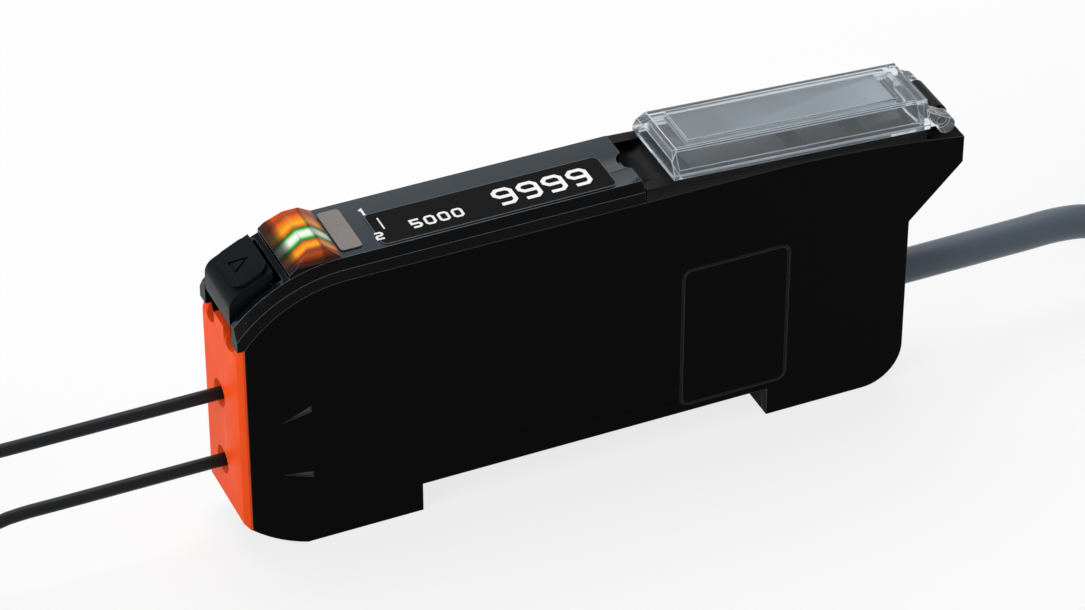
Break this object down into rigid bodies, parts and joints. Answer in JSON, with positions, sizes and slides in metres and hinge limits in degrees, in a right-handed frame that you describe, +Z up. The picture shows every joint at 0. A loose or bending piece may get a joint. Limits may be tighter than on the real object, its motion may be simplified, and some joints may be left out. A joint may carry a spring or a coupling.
{
  "type": "fibre optic sensor amplifier",
  "caption": "Slim rail-mounted fibre optic sensor amplifier with a fibre lock lever, smoked display cover, hinged clear dust cover over its keys, and free fibres and power cable.",
  "frame": {"origin": "under the middle of the case, at the level of its feet", "axes": "+X from the fibre end to the cable end, +Y across to the far wall, +Z up"},
  "size_m": [0.2608, 0.0321, 0.034],
  "materials": {
    "case_black": "fine grain",
    "inlet_orange": "satin",
    "lever_black": "satin",
    "inner_black": "plain",
    "lamp_clear": "clear",
    "receiver_dark": "dark",
    "board_green": "coated board",
    "display_black": "glossy",
    "legend_grey": "glossy",
    "cover_smoked": "glossy smoked",
    "lamp_white": "glossy",
    "guide_orange": "clear, lit",
    "guide_green": "clear, lit",
    "switch_steel": "plain",
    "key_grey": "satin",
    "cover_clear": "glossy clear",
    "label_grey": "printed film",
    "cable_black": "satin",
    "tie_black": "plain",
    "lead_brown": "satin",
    "fibre_black": "satin",
    "head_steel": "turned"
  },
  "bodies": {
    "amplifier": {"main_case": "case_black", "side_cover": "case_black", "fibre_inlet": "inlet_orange", "optics_holder": "inner_black", "emitter_lamp": "lamp_clear", "receiver_diode": "receiver_dark", "main_board": "board_green", "board_header": "inner_black", "display_board": "board_green", "display_holder": "inner_black", "display_glass": "display_black", "legend_panel": "legend_grey", "top_cover": "cover_smoked", "indicator_lamp_near": "lamp_white", "indicator_lamp_centre": "lamp_white", "indicator_lamp_far": "lamp_white", "light_guide_near": "guide_orange", "light_guide_centre": "guide_green", "light_guide_far": "guide_orange", "up_switch": "switch_steel", "down_switch": "switch_steel", "menu_switch": "switch_steel", "teach_switch": "switch_steel", "key_deck": "case_black", "cable_grommet": "cable_black", "power_cable": "cable_black", "power_cable_coil": "cable_black", "power_cable_tie": "tie_black", "lead_wires": "lead_brown", "upper_fibre": "fibre_black", "upper_fibre_coil": "fibre_black", "upper_fibre_tie": "tie_black", "upper_fibre_head": "head_steel", "lower_fibre": "fibre_black", "lower_fibre_coil": "fibre_black", "lower_fibre_tie": "tie_black", "lower_fibre_head": "head_steel"},
    "lever": {"lock_lever": "lever_black"},
    "clamp": {"fibre_clamp": "inner_black"},
    "lid": {"dust_cover": "cover_clear", "cover_label": "label_grey"},
    "rocker": {"rocker_key": "key_grey"},
    "menu_button": {"menu_key": "key_grey"},
    "teach_button": {"teach_key": "key_grey"}
  },
  "joints": [
    {"name": "lever_turn", "type": "hinge", "parent": "amplifier", "child": "lever", "pos_m": [-0.0364, 0, 0.02693], "axis": [0, -1, 0], "range_deg": [0, 85]},
    {"name": "clamp_slide", "type": "slide", "parent": "amplifier", "child": "clamp", "axis": [0, 0, 1], "range_m": [0, 0.0004]},
    {"name": "lid_turn", "type": "hinge", "parent": "amplifier", "child": "lid", "pos_m": [0.036, 0, 0.02929], "axis": [0, 1, 0], "range_deg": [0, 110]},
    {"name": "rocker_tilt", "type": "hinge", "parent": "amplifier", "child": "rocker", "pos_m": [0.0145, 0, 0.02919], "axis": [0, 1, 0], "range_deg": [-3, 3], "stiffness_Nm_per_rad": 0.004},
    {"name": "menu_push", "type": "slide", "parent": "amplifier", "child": "menu_button", "axis": [0, 0, -1], "range_m": [0, 0.0003], "stiffness_N_per_m": 300},
    {"name": "teach_push", "type": "slide", "parent": "amplifier", "child": "teach_button", "axis": [0, 0, -1], "range_m": [0, 0.0003], "stiffness_N_per_m": 300}
  ],
  "couplings": [
    {"joint": "lever_turn", "follows": "clamp_slide", "rad_per_m": 3700}
  ]
}
